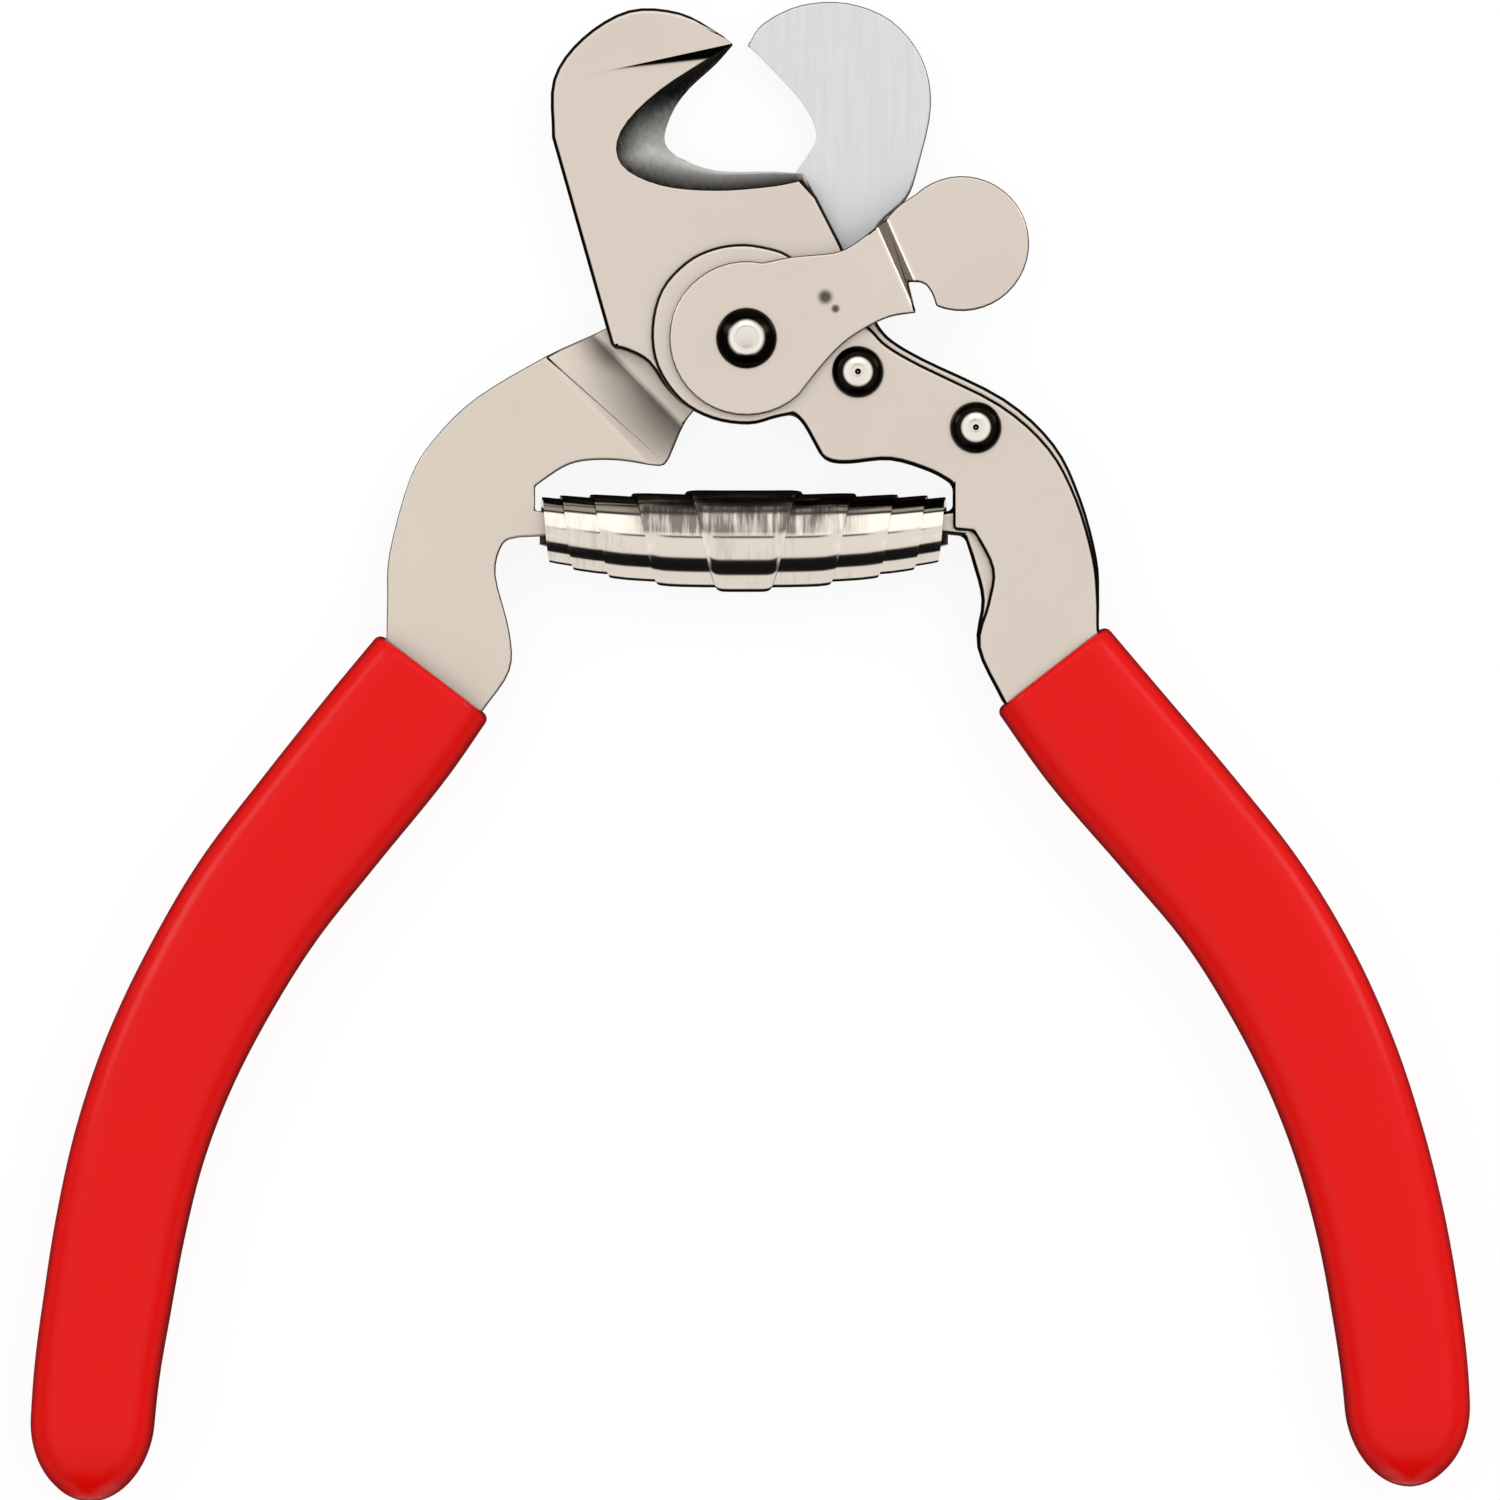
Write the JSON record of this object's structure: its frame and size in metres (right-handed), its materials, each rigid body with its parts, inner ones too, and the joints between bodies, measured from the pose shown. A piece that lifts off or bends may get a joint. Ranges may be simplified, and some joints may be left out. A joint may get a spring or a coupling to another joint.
{
  "type": "plier-style nail clipper",
  "caption": "Plier-style nail clipper with a hooked jaw, a sweeping blade, a swinging stop plate, a volute spring and red dipped grips.",
  "frame": {"origin": "centre of the pivot rivet's flat rear head, on the surface the tool lies on", "axes": "+Z out of the front face, along the pivot; +Y towards the jaws; -Y towards the ends of the grips; +X towards the blade side"},
  "size_m": [0.1345, 0.1404, 0.0113],
  "materials": {
    "satin_steel": "satin nickel plate, ground bright on the blade's face and in the hook",
    "washer_steel": "plain bright strip",
    "polished_rivet": "polished dome",
    "spring_steel": "bright nickel-plated strip",
    "red_plastisol": "dipped, smooth and glossy"
  },
  "bodies": {
    "frame": {"hook_lever": "satin_steel", "handle_doubler": "satin_steel", "pivot_rivet": "polished_rivet", "handle_rivet_upper": "polished_rivet", "handle_rivet_lower": "polished_rivet", "right_grip": "red_plastisol", "friction_washer": "washer_steel"},
    "blade_lever": {"rear_lever": "satin_steel", "left_grip": "red_plastisol"},
    "stop": {"stop_plate": "satin_steel"},
    "spring": {"volute_spring": "spring_steel"}
  },
  "joints": [
    {"name": "lever_pivot", "type": "hinge", "parent": "frame", "child": "blade_lever", "pos_m": [0, 0, 0.0025], "axis": [0, 0, 1], "range_deg": [0, 40], "stiffness_Nm_per_rad": 1, "springref_deg": -20.05, "deforming": ["volute_spring"]},
    {"name": "stop_swing", "type": "hinge", "parent": "frame", "child": "stop", "pos_m": [0, 0, 0.009], "axis": [0, 0, 1], "range_deg": [0, 69]},
    {"name": "spring_float", "type": "hinge", "parent": "frame", "child": "spring", "pos_m": [0.0157, 0.0028, 0.00515], "axis": [0, 0, 1], "range_deg": [0, 20]}
  ],
  "couplings": [
    {"joint": "spring_float", "follows": "lever_pivot", "ratio": 0.5}
  ]
}
